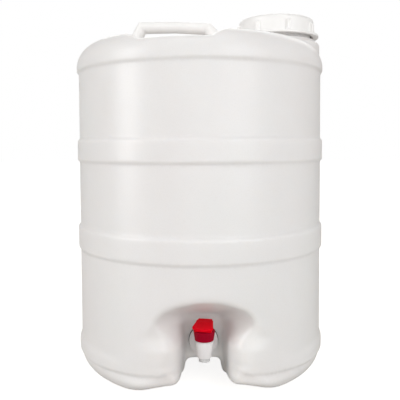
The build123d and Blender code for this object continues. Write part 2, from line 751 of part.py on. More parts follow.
with BuildPart() as tap_lever:
    with BuildSketch(lever_plane.offset(CHEEK_BOTTOM_Z)) as block:
        with Locations((0, (CHEEK_BACK - CHEEK_FRONT) / 2)):
            Rectangle(CHEEK_WIDTH, CHEEK_FRONT + CHEEK_BACK)
        fillet(block.vertices(), CHEEK_FRONT_CORNER)
    extrude(amount=PADDLE_BACK_Z - CHEEK_BOTTOM_Z)
    with BuildSketch(lever_plane.offset(CHEEK_BOTTOM_Z)):
        with BuildLine():
            front = ThreePointArc(
                (-PADDLE_FRONT_HALF, -PADDLE_BULGE_Y),
                (0, -PADDLE_FRONT),
                (PADDLE_FRONT_HALF, -PADDLE_BULGE_Y),
            )
            Polyline(
                front @ 1,
                (PADDLE_FRONT_HALF - PADDLE_CORNER_STEP, PADDLE_CORNER_RUN - PADDLE_BULGE_Y),
                (PADDLE_BACK_HALF, PADDLE_BACK),
                (-PADDLE_BACK_HALF, PADDLE_BACK),
                (PADDLE_CORNER_STEP - PADDLE_FRONT_HALF, PADDLE_CORNER_RUN - PADDLE_BULGE_Y),
                front @ 0,
            )
        make_face()
    extrude(amount=PADDLE_BACK_Z - CHEEK_BOTTOM_Z)
    with BuildSketch(lever_side):
        with BuildLine():
            Polyline(
                (-LEVER_SPACE, paddle_top(-LEVER_SPACE)),
                (LEVER_SPACE, paddle_top(LEVER_SPACE)),
                (LEVER_SPACE, LEVER_SPACE_TOP),
                (-LEVER_SPACE, LEVER_SPACE_TOP),
                close=True,
            )
        make_face()
    extrude(amount=LEVER_SPACE, both=True, mode=Mode.SUBTRACT)
    for low_x, high_x in ((CHEEK_FRONT, LEVER_SPACE), (-LEVER_SPACE, -CHEEK_BACK)):
        with BuildSketch(lever_side):
            add(under_paddle(low_x, high_x))
        extrude(amount=LEVER_SPACE, both=True, mode=Mode.SUBTRACT)
    for side in (-1, 1):
        with BuildSketch(lever_side.offset(side * CHEEK_WIDTH / 2)):
            add(under_paddle(-LEVER_SPACE, LEVER_SPACE))
        extrude(amount=side * LEVER_SIDE_SPACE, mode=Mode.SUBTRACT)
    with BuildSketch(lever_side):
        with BuildLine():
            Polyline(
                (-SLOT_FOOT_HALF, LEVER_SPACE_FOOT),
                (SLOT_FOOT_HALF, LEVER_SPACE_FOOT),
                (SLOT_R, PIN_Z),
                (-SLOT_R, PIN_Z),
                close=True,
            )
        make_face()
        with Locations((0, PIN_Z)):
            Circle(SLOT_R)
    extrude(amount=CHEEK_GAP / 2, both=True, mode=Mode.SUBTRACT)
    with BuildSketch(lever_side):
        with Locations((0, PIN_Z)):
            Circle(PIN_R + PIN_HOLE_CLEARANCE)
    extrude(amount=CHEEK_WIDTH, both=True, mode=Mode.SUBTRACT)
tap_lever.part.label = "tap_lever"
export_step(tap_lever.part, "parts/tap_lever.step")

with BuildPart() as tap_lever_pin:
    with BuildSketch(lever_side):
        with Locations((0, PIN_Z)):
            Circle(PIN_R)
    extrude(amount=PIN_LENGTH / 2, both=True)
tap_lever_pin.part.label = "tap_lever_pin"
export_step(tap_lever_pin.part, "parts/tap_lever_pin.step")
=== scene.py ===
import bpy
import math
import numpy as np
from mathutils import Matrix, Vector


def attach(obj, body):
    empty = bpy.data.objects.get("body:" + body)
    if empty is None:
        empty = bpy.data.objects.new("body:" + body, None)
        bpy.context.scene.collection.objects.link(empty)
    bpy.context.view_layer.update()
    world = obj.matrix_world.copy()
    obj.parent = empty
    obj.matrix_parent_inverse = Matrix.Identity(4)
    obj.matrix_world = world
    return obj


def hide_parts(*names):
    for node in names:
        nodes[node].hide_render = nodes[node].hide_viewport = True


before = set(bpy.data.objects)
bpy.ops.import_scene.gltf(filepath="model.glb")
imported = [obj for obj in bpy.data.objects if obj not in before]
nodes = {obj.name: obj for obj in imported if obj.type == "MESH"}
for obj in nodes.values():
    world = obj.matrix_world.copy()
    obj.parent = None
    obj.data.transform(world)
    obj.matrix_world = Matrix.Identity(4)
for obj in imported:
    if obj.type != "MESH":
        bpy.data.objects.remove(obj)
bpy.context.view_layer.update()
MM = 0.001

# The vessel's driving sizes, in millimetres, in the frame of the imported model.
WALL = 2.6
CELL = 2.3
INSIDE_CELL = 3.4
BODY_R = 150.0
BAND_R = 152.45
BANDS = ((24.0, 43.0), (151.8, 178.9), (256.8, 282.2))
BAND_EDGE = 3.0
BASE_BAND_EDGE = 10.0
SHOULDER_Z = 363.3
SHOULDER_R = 30.0
DOME_TOP = 409.3
DOME_R = 700.0
CORNER = (37.0, 28.0)

# The neck, with the boss and the low step that it stands on.
NECK_X = 97.5
BOSS_R = 54.0
BOSS_TOP = 402.5
STEP_R = 49.3
STEP_TOP = 405.0
BOSS_FOOT = 345.0
NECK_R = 42.7
NECK_BORE = NECK_R - WALL
NECK_FOOT = 403.6
NECK_LIP = 427.2
NECK_TOP = 428.2

# The cap, its eight ribs, and the two-start thread between it and the neck.
CAP_R = 47.0
CAP_INNER_R = 45.1
CAP_FLANGE_R = 53.0
CAP_FLANGE_Z = 410.6
CAP_FOOT = 409.05
CAP_ROOF = 430.3
CAP_TOP = 432.4
CAP_RIBS = 8
CAP_RIB_R = 51.0
CAP_RIB_TOP = 425.5
CAP_RIB_START = math.radians(-82.0)
THREAD_STARTS = (0, 180)
THREAD_TURNS = 0.75
THREAD_LEAD = 12.0
THREAD_DEPTH = 1.7

# The recess for the tap, and the channel between the feet.
RECESS_BACK = 86.0
RECESS_HALF = 21.5
RECESS_TOP = 84.0
RECESS_BELOW = -60.0
RECESS_BEND = 56.0
RECESS_BEND_HEIGHT = 36.0
RECESS_SPREAD = 0.16
RECESS_MORE_SPREAD = 0.54
RECESS_ROOF_SLOPE = 0.47
RECESS_ARCH = 0.0045
TAP_HOLE_R = 12.5
TAP_HOLE_Z = 54
CHANNEL_HALF = 22.5
CHANNEL_TOP = 31.0
CHANNEL_FLARE = 11.0
CHANNEL_TAPER = 3.0

# The widths over which the vessel's forms are rounded into each other.
BOSS_EDGE = 6.0
BOSS_ROOT = 5.0
STEP_EDGE = 1.6
STEP_ROOT = 1.2
GROOVE_EDGE = 8.0
RECESS_EDGE = 13.0
RECESS_SIDE_EDGE = 23.0
RECESS_ROOF_EDGE = -7.5
RECESS_CORNER = 7.0
CHANNEL_EDGE = 7.0
CHANNEL_CORNER = 8.0


# ---------------------------------------------------------------- helpers


def smooth_step(t):
    """A soft ramp from 0 to 1 as t goes from 0 to 1."""
    t = np.clip(t, 0.0, 1.0)
    return t * t * (3.0 - 2.0 * t)


def smooth_max(a, b, k):
    """The larger of two fields, with the edge between them rounded over about k millimetres."""
    h = np.clip(0.5 + 0.5 * (a - b) / k, 0.0, 1.0)
    return b + (a - b) * h + k * h * (1.0 - h)


def smooth_min(a, b, k):
    """The smaller of two fields, with the corner between them filled over about k millimetres."""
    return -smooth_max(-a, -b, k)


def box_2d(x, z, half_x, half_z, corner):
    """Signed distance to a rounded rectangle centred on the origin."""
    qx = np.abs(x) - half_x + corner
    qz = np.abs(z) - half_z + corner
    outside = np.hypot(np.maximum(qx, 0.0), np.maximum(qz, 0.0))
    return outside + np.minimum(np.maximum(qx, qz), 0.0) - corner


def polygon_2d(x, z, points):
    """Signed distance to a closed polygon, negative inside."""
    best = np.full(x.shape, 1e9)
    inside = np.zeros(x.shape, bool)
    for (ax, az), (bx, bz) in zip(points, points[1:] + points[:1]):
        ex, ez = bx - ax, bz - az
        px, pz = x - ax, z - az
        t = np.clip((px * ex + pz * ez) / (ex * ex + ez * ez), 0.0, 1.0)
        best = np.minimum(best, (px - ex * t) ** 2 + (pz - ez * t) ** 2)
        if az != bz:
            crosses = ((az > z) != (bz > z)) & (x < ax + (z - az) * ex / ez)
            inside ^= crosses
    return np.where(inside, -1.0, 1.0) * np.sqrt(best)


# ---------------------------------------------------------------- vessel field


def side_profile():
    """The right half of the vessel's upright section, from the floor's centre to the dome's top."""
    points = [(0.0, 0.0)]
    for step in range(25):
        a = math.radians(90.0 * step / 24)
        points.append((BODY_R - CORNER[0] * (1 - math.sin(a)), CORNER[1] * (1 - math.cos(a))))
    lean = math.asin((BAND_R - SHOULDER_R) / (DOME_R - SHOULDER_R))
    arc_z = DOME_TOP - DOME_R + (DOME_R - SHOULDER_R) * math.cos(lean)
    z = CORNER[1] + 1.0
    while z < arc_z:
        r = BODY_R
        for low, high in BANDS + ((SHOULDER_Z, 999.0),):
            edge = BASE_BAND_EDGE if low < CORNER[1] else BAND_EDGE
            rise = smooth_step((z - low + 0.5 * edge) / edge)
            fall = smooth_step((z - high + 0.5 * edge) / edge)
            r += (BAND_R - BODY_R) * (float(rise) - float(fall))
        points.append((r, z))
        z += 0.8
    for step in range(33):
        a = (math.pi / 2 - lean) * step / 32
        points.append(
            (BAND_R - SHOULDER_R + SHOULDER_R * math.cos(a), arc_z + SHOULDER_R * math.sin(a))
        )
    for step in range(1, 13):
        a = lean * (1 - step / 12)
        points.append((DOME_R * math.sin(a), DOME_TOP - DOME_R + DOME_R * math.cos(a)))
    return points


PROFILE = side_profile()
TABLE_STEP = 0.5
TABLE_R = (-4.0, 230.0)
TABLE_Z = (-14.0, 425.0)
PAST_AXIS = -40.0
table_r, table_z = np.meshgrid(
    np.arange(*TABLE_R, TABLE_STEP), np.arange(*TABLE_Z, TABLE_STEP), indexing="ij"
)
TABLE = polygon_2d(np.abs(table_r), table_z, PROFILE + [(PAST_AXIS, DOME_TOP), (PAST_AXIS, 0.0)])


def body_form(r, z):
    """Signed distance to the round body with its bands, read from the table."""
    u = np.clip((r - TABLE_R[0]) / TABLE_STEP, 0, TABLE.shape[0] - 1.001)
    v = np.clip((z - TABLE_Z[0]) / TABLE_STEP, 0, TABLE.shape[1] - 1.001)
    i, j = u.astype(int), v.astype(int)
    u, v = u - i, v - j
    low = TABLE[i, j] * (1 - u) + TABLE[i + 1, j] * u
    high = TABLE[i, j + 1] * (1 - u) + TABLE[i + 1, j + 1] * u
    return low * (1 - v) + high * v


GROOVE = [(-70.0, 388.0), (8.0, 388.0), (34.0, 413.0), (60.0, 440.0), (-110.0, 440.0), (-88.0, 413.0)]


def groove_form(x, z):
    """The groove across the top that the handle bridges."""
    return polygon_2d(x, z, GROOVE)


def recess_form(x, y, z):
    """The arched recess around the tap, wider towards the front and above its bend."""
    run = np.maximum(-y - RECESS_BACK, -20.0)
    bend = (z - RECESS_BEND) / RECESS_BEND_HEIGHT
    spread = RECESS_SPREAD + RECESS_MORE_SPREAD * smooth_step(bend)
    half = RECESS_HALF + spread * run
    arch = RECESS_ARCH * x**2 * np.clip(run / 50.0, 0.0, 1.0)
    top = RECESS_TOP + RECESS_ROOF_SLOPE * run - arch
    corner = np.clip(13.0 + 10.0 * run / 79.0, 4.0, 60.0)
    middle, half_height = 0.5 * (top + RECESS_BELOW), 0.5 * (top - RECESS_BELOW)
    opening = box_2d(x, z - middle, half, half_height, corner)
    # The slopes stretch the field, so it is evened to stay near a true distance.
    steepness = 0.023 * run * np.sin(np.pi * np.clip(bend, 0.0, 1.0))
    even = 0.86 / np.sqrt(1.0 + spread**2 + steepness**2)
    return smooth_max(even * opening, y + RECESS_BACK, RECESS_CORNER)


def channel_form(x, z):
    """The channel between the feet, flared at the floor and narrower at its top."""
    low = np.clip(CHANNEL_FLARE - z, 0.0, CHANNEL_FLARE)
    flare = CHANNEL_FLARE - np.sqrt(CHANNEL_FLARE**2 - low * low)
    taper = CHANNEL_TAPER * np.clip((z - CHANNEL_FLARE) / 20.0, 0.0, 1.0)
    half = CHANNEL_HALF + flare - taper
    return smooth_max(np.abs(x) - half, z - CHANNEL_TOP, CHANNEL_CORNER)


def recess_rounding(x, z):
    """How wide the recess's rim is rounded: most beside the tap and the notch, least at its roof."""
    beside_notch = 1.0 - smooth_step((np.abs(x) - 40.0) / 50.0)
    beside_notch *= 0.7 + 0.3 * smooth_step((np.abs(x) - 26.0) / 20.0)
    side = np.maximum(smooth_step((z - 10.0) / 26.0), beside_notch)
    side -= smooth_step((z - 54.0) / 36.0)
    roof = smooth_step((z - 70.0) / 20.0)
    return RECESS_EDGE + RECESS_SIDE_EDGE * side + RECESS_ROOF_EDGE * roof


def outer_field(x, y, z):
    """Signed distance, roughly, to the vessel's outer skin below its neck."""
    r = np.hypot(x, y)
    base_band = smooth_step((z - BANDS[0][0]) / BASE_BAND_EDGE + 0.5)
    base_band -= smooth_step((z - BANDS[0][1]) / BASE_BAND_EDGE + 0.5)
    fade = 1.0 - smooth_step((np.abs(x) - 75.0) / 55.0)
    field = body_form(r, z) + (BAND_R - BODY_R) * base_band * fade
    off = np.hypot(x - NECK_X, y)
    boss = smooth_max(off - BOSS_R, z - BOSS_TOP, BOSS_EDGE)
    step = smooth_max(off - STEP_R, z - STEP_TOP, STEP_EDGE)
    field = smooth_min(field, np.maximum(boss, BOSS_FOOT - z), BOSS_ROOT)
    field = smooth_min(field, np.maximum(step, BOSS_FOOT - z), STEP_ROOT)
    field = np.maximum(field, r - BAND_R)
    field = smooth_max(field, -groove_form(x, z), GROOVE_EDGE)
    round_under = np.clip(0.72 * np.abs(x) + 2.0, 14.0, 44.0)
    flank = smooth_max(-recess_form(x, y, z), -z, round_under)
    field = smooth_max(field, flank, recess_rounding(x, z))
    return smooth_max(field, -channel_form(x, z), CHANNEL_EDGE)


# ---------------------------------------------------------------- meshing

POLISH_STEPS = 3
PROBE = 0.4
FLATTEST = 0.2


def surface_net(field, low, high, cell, level=0.0):
    """A quad mesh on the level set of a field, with its points moved onto the exact surface."""
    axes = [np.arange(a, b + cell, cell) for a, b in zip(low, high)]
    shape = tuple(len(a) for a in axes)
    values = np.empty(shape, np.float32)
    for i, x in enumerate(axes[0]):
        gy, gz = np.meshgrid(axes[1], axes[2], indexing="ij")
        values[i] = field(np.full(gy.shape, x), gy, gz) - level
    quads, points = [], []
    for axis in range(3):
        near = [slice(None)] * 3
        far = [slice(None)] * 3
        near[axis], far[axis] = slice(None, -1), slice(1, None)
        a, b = values[tuple(near)], values[tuple(far)]
        hits = np.argwhere((a < 0) != (b < 0))
        va, vb = a[tuple(hits.T)], b[tuple(hits.T)]
        point = hits.astype(float)
        point[:, axis] += va / (va - vb)
        u, v = (axis + 1) % 3, (axis + 2) % 3
        around = []
        for du, dv in ((0, 0), (-1, 0), (-1, -1), (0, -1)):
            corner = hits.copy()
            corner[:, u] += du
            corner[:, v] += dv
            around.append(np.ravel_multi_index(corner.T, shape))
        quad = np.stack(around, 1)
        quad[va > vb] = quad[va > vb][:, ::-1]
        quads.append(quad[:, ::-1])
        points.append(point)
    quads = np.concatenate(quads)
    points = np.repeat(np.concatenate(points), 4, axis=0)
    _, index = np.unique(quads, return_inverse=True)
    index = index.reshape(-1)
    count = np.bincount(index)
    place = np.stack([np.bincount(index, weights=points[:, k]) / count for k in range(3)], 1)
    place = place * cell + np.array([a[0] for a in axes])
    for _ in range(POLISH_STEPS):
        x, y, z = place.T
        value = field(x, y, z) - level
        slope = np.stack(
            [
                field(x + PROBE, y, z) - field(x - PROBE, y, z),
                field(x, y + PROBE, z) - field(x, y - PROBE, z),
                field(x, y, z + PROBE) - field(x, y, z - PROBE),
            ],
            1,
        ) / (2 * PROBE)
        size = np.maximum((slope**2).sum(1), FLATTEST)
        place -= np.clip(value / size, -cell, cell)[:, None] * slope
    return place, index.reshape(-1, 4)


def new_object(name, points, faces):
    """A smooth-shaded object from points in millimetres."""
    mesh = bpy.data.meshes.new(name)
    mesh.from_pydata([tuple(p) for p in np.asarray(points) * MM], [], [tuple(f) for f in faces])
    mesh.validate()
    mesh.update()
    mesh.shade_smooth()
    obj = bpy.data.objects.new(name, mesh)
    bpy.context.scene.collection.objects.link(obj)
    return obj


def lathe(name, profile, centre=(0.0, 0.0), steps=128, closed=True):
    """A turned piece: profile is (radius, z) points, in order round the closed section."""
    count = len(profile)
    points, faces = [], []
    for s in range(steps):
        a = 2 * math.pi * s / steps
        for r, z in profile:
            points.append((centre[0] + r * math.cos(a), centre[1] + r * math.sin(a), z))
    for s in range(steps):
        t = (s + 1) % steps
        for k in range(count if closed else count - 1):
            m = (k + 1) % count
            faces.append((s * count + k, t * count + k, t * count + m, s * count + m))
    return new_object(name, points, faces)


def solid(name, field, low, high, cell):
    """A closed object on the skin of a field."""
    return new_object(name, *surface_net(field, low, high, cell))


def cut(obj, tool):
    """Take the tool's solid out of the object, and remove the tool."""
    mod = obj.modifiers.new("cut", "BOOLEAN")
    mod.operation = "DIFFERENCE"
    mod.solver = "MANIFOLD"
    mod.object = tool
    dg = bpy.context.evaluated_depsgraph_get()
    done = bpy.data.meshes.new_from_object(obj.evaluated_get(dg))
    obj.modifiers.clear()
    obj.data = done
    bpy.data.objects.remove(tool, do_unlink=True)


def join(obj, *others):
    """Put the other objects' meshes into the first object's mesh, and remove them."""
    for other in others:
        base = len(obj.data.vertices)
        co = [v.co for v in obj.data.vertices] + [v.co for v in other.data.vertices]
        faces = [tuple(f.vertices) for f in obj.data.polygons]
        faces += [tuple(i + base for i in f.vertices) for f in other.data.polygons]
        mesh = bpy.data.meshes.new(obj.name)
        mesh.from_pydata(co, [], faces)
        mesh.update()
        mesh.shade_smooth()
        obj.data = mesh
        bpy.data.objects.remove(other, do_unlink=True)
    return obj


def ridge(name, root_r, crest_r, start_z, turn):
    """One thread ridge on the neck's axis, from the inside or the outside of a wall."""
    bite = 0.5 if crest_r < root_r else -0.5
    section = [(bite, -1.3), (0.0, -1.3), (crest_r - root_r, -0.7)]
    section += [(r, -z) for r, z in reversed(section)]
    steps = 64
    points, faces = [], []
    for s in range(steps + 1):
        t = s / steps
        a = math.radians(turn) + 2 * math.pi * THREAD_TURNS * t
        fade = min(1.0, 8 * t + 0.15, 8 * (1 - t) + 0.15)
        for dr, dz in section:
            r = root_r + (dr * fade if abs(dr) > 0.6 else dr)
            x, y = NECK_X + r * math.cos(a), r * math.sin(a)
            points.append((x, y, start_z + THREAD_LEAD * THREAD_TURNS * t + dz))
    count = len(section)
    for s in range(steps):
        for k in range(count):
            m = (k + 1) % count
            near, far = s * count, (s + 1) * count
            faces.append((near + k, far + k, far + m, near + m))
    faces.append(tuple(range(count)))
    faces.append(tuple(steps * count + k for k in reversed(range(count))))
    return new_object(name, points, faces)


def threads(root_r, crest_r, start_z):
    """The ridges of one two-start thread."""
    return [ridge("thread", root_r, crest_r, start_z, turn) for turn in THREAD_STARTS]


def adopt(obj, body, slot, *replaced):
    """Let a piece ride on a body and stand for the CAD nodes that it replaces."""
    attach(obj, body)
    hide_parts(*replaced)
    return obj


def rod(radius, start, end, steps=96):
    """A closed plain cylinder between two points, used as a cutter."""
    start, end = np.array(start), np.array(end)
    axis = (end - start) / np.linalg.norm(end - start)
    side = np.cross(axis, (0.0, 0.0, 1.0) if abs(axis[2]) < 0.9 else (1.0, 0.0, 0.0))
    side /= np.linalg.norm(side)
    other = np.cross(axis, side)
    points = []
    for s in range(steps):
        a = 2 * math.pi * s / steps
        off = radius * (math.cos(a) * side + math.sin(a) * other)
        points += [start + off, end + off]
    faces = []
    for s in range(steps):
        t = (s + 1) % steps
        faces.append((2 * s, 2 * t, 2 * t + 1, 2 * s + 1))
    faces.append(tuple(2 * s for s in reversed(range(steps))))
    faces.append(tuple(2 * s + 1 for s in range(steps)))
    return new_object("rod", points, faces)


# ---------------------------------------------------------------- vessel

VESSEL_BOX = ((-157, -157, -5), (157, 157, 411))
vessel = solid("vessel_shell", outer_field, *VESSEL_BOX, CELL)
inside = surface_net(outer_field, *VESSEL_BOX, INSIDE_CELL, level=-WALL)
cut(vessel, new_object("inside", *inside))
cut(vessel, rod(NECK_BORE, (NECK_X, 0, 385), (NECK_X, 0, 415)))
cut(vessel, rod(TAP_HOLE_R, (0, -94, TAP_HOLE_Z), (0, -78, TAP_HOLE_Z)))
neck = lathe(
    "neck",
    [
        (NECK_BORE, NECK_FOOT), (NECK_BORE, NECK_LIP), (NECK_BORE + 0.3, NECK_LIP + 0.7),
        (NECK_BORE + 0.9, NECK_TOP), (NECK_R - 0.9, NECK_TOP), (NECK_R - 0.3, NECK_LIP + 0.7),
        (NECK_R, NECK_LIP), (NECK_R, NECK_FOOT),
    ],
    (NECK_X, 0),
)
join(vessel, neck, *threads(NECK_R, NECK_R + THREAD_DEPTH, 412.6))
adopt(vessel, "barrel", "natural_hdpe", "vessel")

# ---------------------------------------------------------------- handle

STRAP = [
    (-95, 396), (-76, 429.5), (-31, 430.3), (14.5, 428.5), (41.5, 401), (15, 396), (6.5, 415.6),
    (-31, 417.2), (-68.5, 416.4), (-76.5, 396),
]
STRAP_MIDDLE_X = -31.0
STRAP_HALF_WIDTH = 13.0
STRAP_EDGE = 9.0


def handle_field(x, y, z):
    """The strap with rounded edges, a little narrower in its middle, cut off 2 mm inside the vessel."""
    strap = polygon_2d(x, z, STRAP)
    waist = STRAP_HALF_WIDTH - np.exp(-(((x - STRAP_MIDDLE_X) / 30.0) ** 2))
    form = smooth_max(strap + 0.2, np.abs(y) - waist, STRAP_EDGE)
    return np.maximum(form, -outer_field(x, y, z) - 2.0)


handle = solid("carry_handle", handle_field, (-100, -17, 392), (46, 17, 435), 1.3)
adopt(handle, "barrel", "white_plastic", "handle")

# ---------------------------------------------------------------- cap and bung


def cap_field(x, y, z):
    """The ribbed cap: wall, ribs, flange, sunken top with a raised pad, hollow inside and vent hole."""
    dx = x - NECK_X
    r = np.hypot(dx, y)
    a = np.arctan2(y, dx) - CAP_RIB_START
    half_step = math.pi / CAP_RIBS
    around = (a + half_step) % (2 * half_step) - half_step
    wall = smooth_max(r - CAP_R + 0.1 + 0.02 * (z - 409.0), z - CAP_TOP, 5.0)
    out = r * np.cos(around) - CAP_R
    rib = box_2d(r * np.sin(around), out, 2.3, CAP_RIB_R - CAP_R, 1.0)
    rib = np.maximum(rib, z - CAP_RIB_TOP)
    slant = 0.5 * (r - CAP_RIB_R) + 0.7 * (z - CAP_RIB_TOP) + 2.0
    form = smooth_min(wall, smooth_max(rib, slant, 1.5), 1.2)
    flange = box_2d(r, z - CAP_FLANGE_Z, CAP_FLANGE_R - 0.1, 1.6, 0.9)
    form = smooth_min(form, flange, 1.4)
    sunken_top = smooth_max(r - 38.0, -(z - 431.9), 0.8)
    form = smooth_max(form, -sunken_top, 0.8)
    pad = smooth_max(r - 15.0, z - CAP_TOP, 1.2)
    form = smooth_min(form, np.maximum(pad, 429.0 - z), 0.8)
    hollow = np.maximum(r - CAP_INNER_R, z - CAP_ROOF)
    form = np.maximum(form, -hollow)
    vent_hole = 8.0 - r
    return np.maximum(np.maximum(form, vent_hole), CAP_FOOT - z)


cap = solid("cap_shell", cap_field, (42, -56, 407), (153, 56, 435), 0.9)
join(cap, *threads(CAP_INNER_R, CAP_INNER_R - THREAD_DEPTH, 410.0))
adopt(cap, "cap", "white_plastic", "screw_cap")

bung = lathe(
    "vent_plug",
    [
        (0.01, 427.5), (4.6, 427.4), (5.0, 427.0), (5.0, 424.7), (5.3, 424.5), (6.7, 424.5),
        (7.0, 424.8), (7.85, 430.3), (7.9, 432.5), (8.1, 432.6), (10.3, 432.6), (10.7, 433.0),
        (10.7, 437.8), (10.4, 438.9), (9.7, 439.7), (8.9, 440.0), (6.6, 440.0), (6.2, 439.7),
        (6.0, 438.9), (5.6, 438.6), (0.01, 438.5),
    ],
    (NECK_X, 0),
    steps=72,
    closed=False,
)
adopt(bung, "bung", "white_soft", "vent_bung")

# ---------------------------------------------------------------- materials


class Surface:
    """A Principled material with short ways to add procedural colour, roughness and relief."""

    def __init__(self, name, color, roughness, **constants):
        self.mat = bpy.data.materials.new(name)
        self.mat.use_nodes = True
        self.mat.diffuse_color = (*color, 1.0)
        self.tree = self.mat.node_tree
        self.main = self.tree.nodes["Principled BSDF"]
        self.main.inputs["Base Color"].default_value = (*color, 1.0)
        self.main.inputs["Roughness"].default_value = roughness
        for key, value in constants.items():
            self.main.inputs[key.replace("_", " ")].default_value = value
        self.place = self.tree.nodes.new("ShaderNodeTexCoord").outputs["Object"]

    def node(self, kind, links=None, **settings):
        """A node with its settings or socket values, and links into its inputs."""
        made = self.tree.nodes.new(kind)
        for key, value in settings.items():
            if key in made.inputs and not hasattr(made, key):
                made.inputs[key].default_value = value
            else:
                setattr(made, key, value)
        for key, source in (links or {}).items():
            self.tree.links.new(source, made.inputs[key])
        return made

    def noise(self, scale, detail=3.0, stretch=(1, 1, 1)):
        """Noise with the given number of blobs to a metre, stretched along each axis."""
        place = self.place
        if stretch != (1, 1, 1):
            mapping = self.node("ShaderNodeMapping", {"Vector": place})
            mapping.inputs["Scale"].default_value = stretch
            place = mapping.outputs[0]
        made = self.node("ShaderNodeTexNoise", {"Vector": place})
        made.inputs["Scale"].default_value = scale
        made.inputs["Detail"].default_value = detail
        return made.outputs["Fac"]

    def ramp(self, source, *stops):
        """A colour ramp from (position, colour) stops."""
        made = self.node("ShaderNodeValToRGB", {"Fac": source})
        ramp = made.color_ramp
        while len(ramp.elements) < len(stops):
            ramp.elements.new(0.5)
        for element, (at, color) in zip(ramp.elements, stops):
            element.position = at
            element.color = (*color, 1.0)
        return made.outputs["Color"]

    def multiply(self, a, b):
        """Two colours multiplied."""
        made = self.node("ShaderNodeMix", data_type="RGBA", blend_type="MULTIPLY")
        made.inputs[0].default_value = 1.0
        sockets = [i for i in made.inputs if i.type == "RGBA"]
        for socket, source in zip(sockets, (a, b)):
            self.tree.links.new(source, socket)
        return [o for o in made.outputs if o.type == "RGBA"][0]

    def size(self, source):
        """A number without its sign."""
        made = self.node("ShaderNodeMath", operation="ABSOLUTE")
        self.tree.links.new(source, made.inputs[0])
        return made.outputs[0]

    def spread(self, source, low, high, from_low=0.3, from_high=0.7):
        """A number mapped from one range to another, held at the ends."""
        made = self.node("ShaderNodeMapRange", {"Value": source})
        for key, value in zip((1, 2, 3, 4), (from_low, from_high, low, high)):
            made.inputs[key].default_value = value
        return made.outputs[0]

    def color(self, source):
        """Let a source give the base colour."""
        self.tree.links.new(source, self.main.inputs["Base Color"])

    def rough(self, source):
        """Let a source give the roughness."""
        self.tree.links.new(source, self.main.inputs["Roughness"])

    def relief(self, *layers, edge=0.0):
        """Bump from (height, strength, distance in metres) layers over an edge rounded by edge metres."""
        normal = None
        if edge:
            normal = self.node("ShaderNodeBevel", samples=6, Radius=edge).outputs[0]
        for height, strength, distance in layers:
            bump = self.node("ShaderNodeBump", {"Height": height})
            bump.inputs["Strength"].default_value = strength
            bump.inputs["Distance"].default_value = distance
            if normal is not None:
                self.tree.links.new(normal, bump.inputs["Normal"])
            normal = bump.outputs[0]
        self.tree.links.new(normal, self.main.inputs["Normal"])

    def apply(self, *objs):
        """Put the material on new pieces, or in each material slot of a CAD node."""
        for obj in objs:
            slots = obj.data.materials
            if obj.name in nodes and slots:
                for k in range(len(slots)):
                    slots[k] = self.mat
            else:
                slots.clear()
                slots.append(self.mat)


def make_natural():
    """Unpigmented blow-moulded polyethylene: milky and satin, with faint mottling and a mould line."""
    m = Surface(
        "natural_polyethylene",
        (0.86, 0.84, 0.825),
        0.34,
        Subsurface_Weight=0.35,
        Subsurface_Radius=(1.0, 0.86, 0.76),
        Subsurface_Scale=0.012,
        Specular_IOR_Level=0.5,
    )
    tint = m.ramp(
        m.noise(7.0, 2.0, (1, 1, 0.6)),
        (0.3, (0.85, 0.815, 0.80)),
        (0.5, (0.865, 0.84, 0.825)),
        (0.7, (0.855, 0.845, 0.825)),
    )
    patch = m.ramp(m.noise(38.0, 3.0), (0.2, (0.985, 0.985, 0.988)), (0.8, (1.0, 1.0, 1.0)))
    speck = m.ramp(m.noise(900.0, 2.0), (0.20, (0.97, 0.965, 0.96)), (0.5, (1.0, 1.0, 1.0)))
    m.color(m.multiply(m.multiply(tint, patch), speck))
    m.rough(m.spread(m.noise(60.0, 4.0), 0.29, 0.39))
    across = m.node("ShaderNodeSeparateXYZ", {"Vector": m.place}).outputs["Y"]
    seam = m.spread(m.size(across), 1.0, 0.0, 0.0003, 0.0011)
    m.relief(
        (m.noise(14.0, 1.0, (1, 1, 0.35)), 0.25, 0.0016),
        (m.noise(95.0, 2.0), 0.20, 0.0005),
        (m.noise(1500.0, 2.0), 0.10, 0.00018),
        (seam, 0.6, 0.00035),
    )
    return m


def make_white(name, color, roughness, grain=0.12, edge=0.0, glow=0.12):
    """White moulded plastic, soft rubber or foam, by its roughness, grain and glow."""
    m = Surface(
        name, color, roughness, Subsurface_Weight=glow, Subsurface_Scale=0.004,
        Subsurface_Radius=(1.0, 0.95, 0.9), Specular_IOR_Level=0.5,
    )
    low = tuple(c * 0.965 for c in color)
    m.color(m.ramp(m.noise(55.0, 3.0), (0.35, low), (0.65, color)))
    m.rough(m.spread(m.noise(140.0, 3.0), roughness - 0.05, roughness + 0.07))
    m.relief((m.noise(1800.0, 2.0), grain, 0.00012), (m.noise(120.0, 2.0), 0.12, 0.0003), edge=edge)
    return m


def make_red(name, color):
    """Saturated red moulded plastic with rounded edges."""
    m = Surface(
        name, color, 0.45, Subsurface_Weight=0.05, Subsurface_Scale=0.002,
        Subsurface_Radius=(1.0, 0.1, 0.1), Specular_IOR_Level=0.06,
    )
    low = tuple(c * 0.86 for c in color)
    m.color(m.ramp(m.noise(160.0, 3.0), (0.3, low), (0.7, color)))
    m.rough(m.spread(m.noise(300.0, 3.0), 0.38, 0.52))
    m.relief((m.noise(2600.0, 2.0), 0.14, 0.0001), edge=0.0004)
    return m


def make_rubber():
    """Dark brown-black matt rubber."""
    m = Surface("dark_rubber", (0.045, 0.036, 0.022), 0.6)
    m.color(m.ramp(m.noise(250.0, 3.0), (0.3, (0.03, 0.024, 0.015)), (0.7, (0.06, 0.048, 0.03))))
    m.rough(m.spread(m.noise(600.0, 2.0), 0.5, 0.72))
    m.relief((m.noise(1500.0, 2.0), 0.2, 0.0001))
    return m


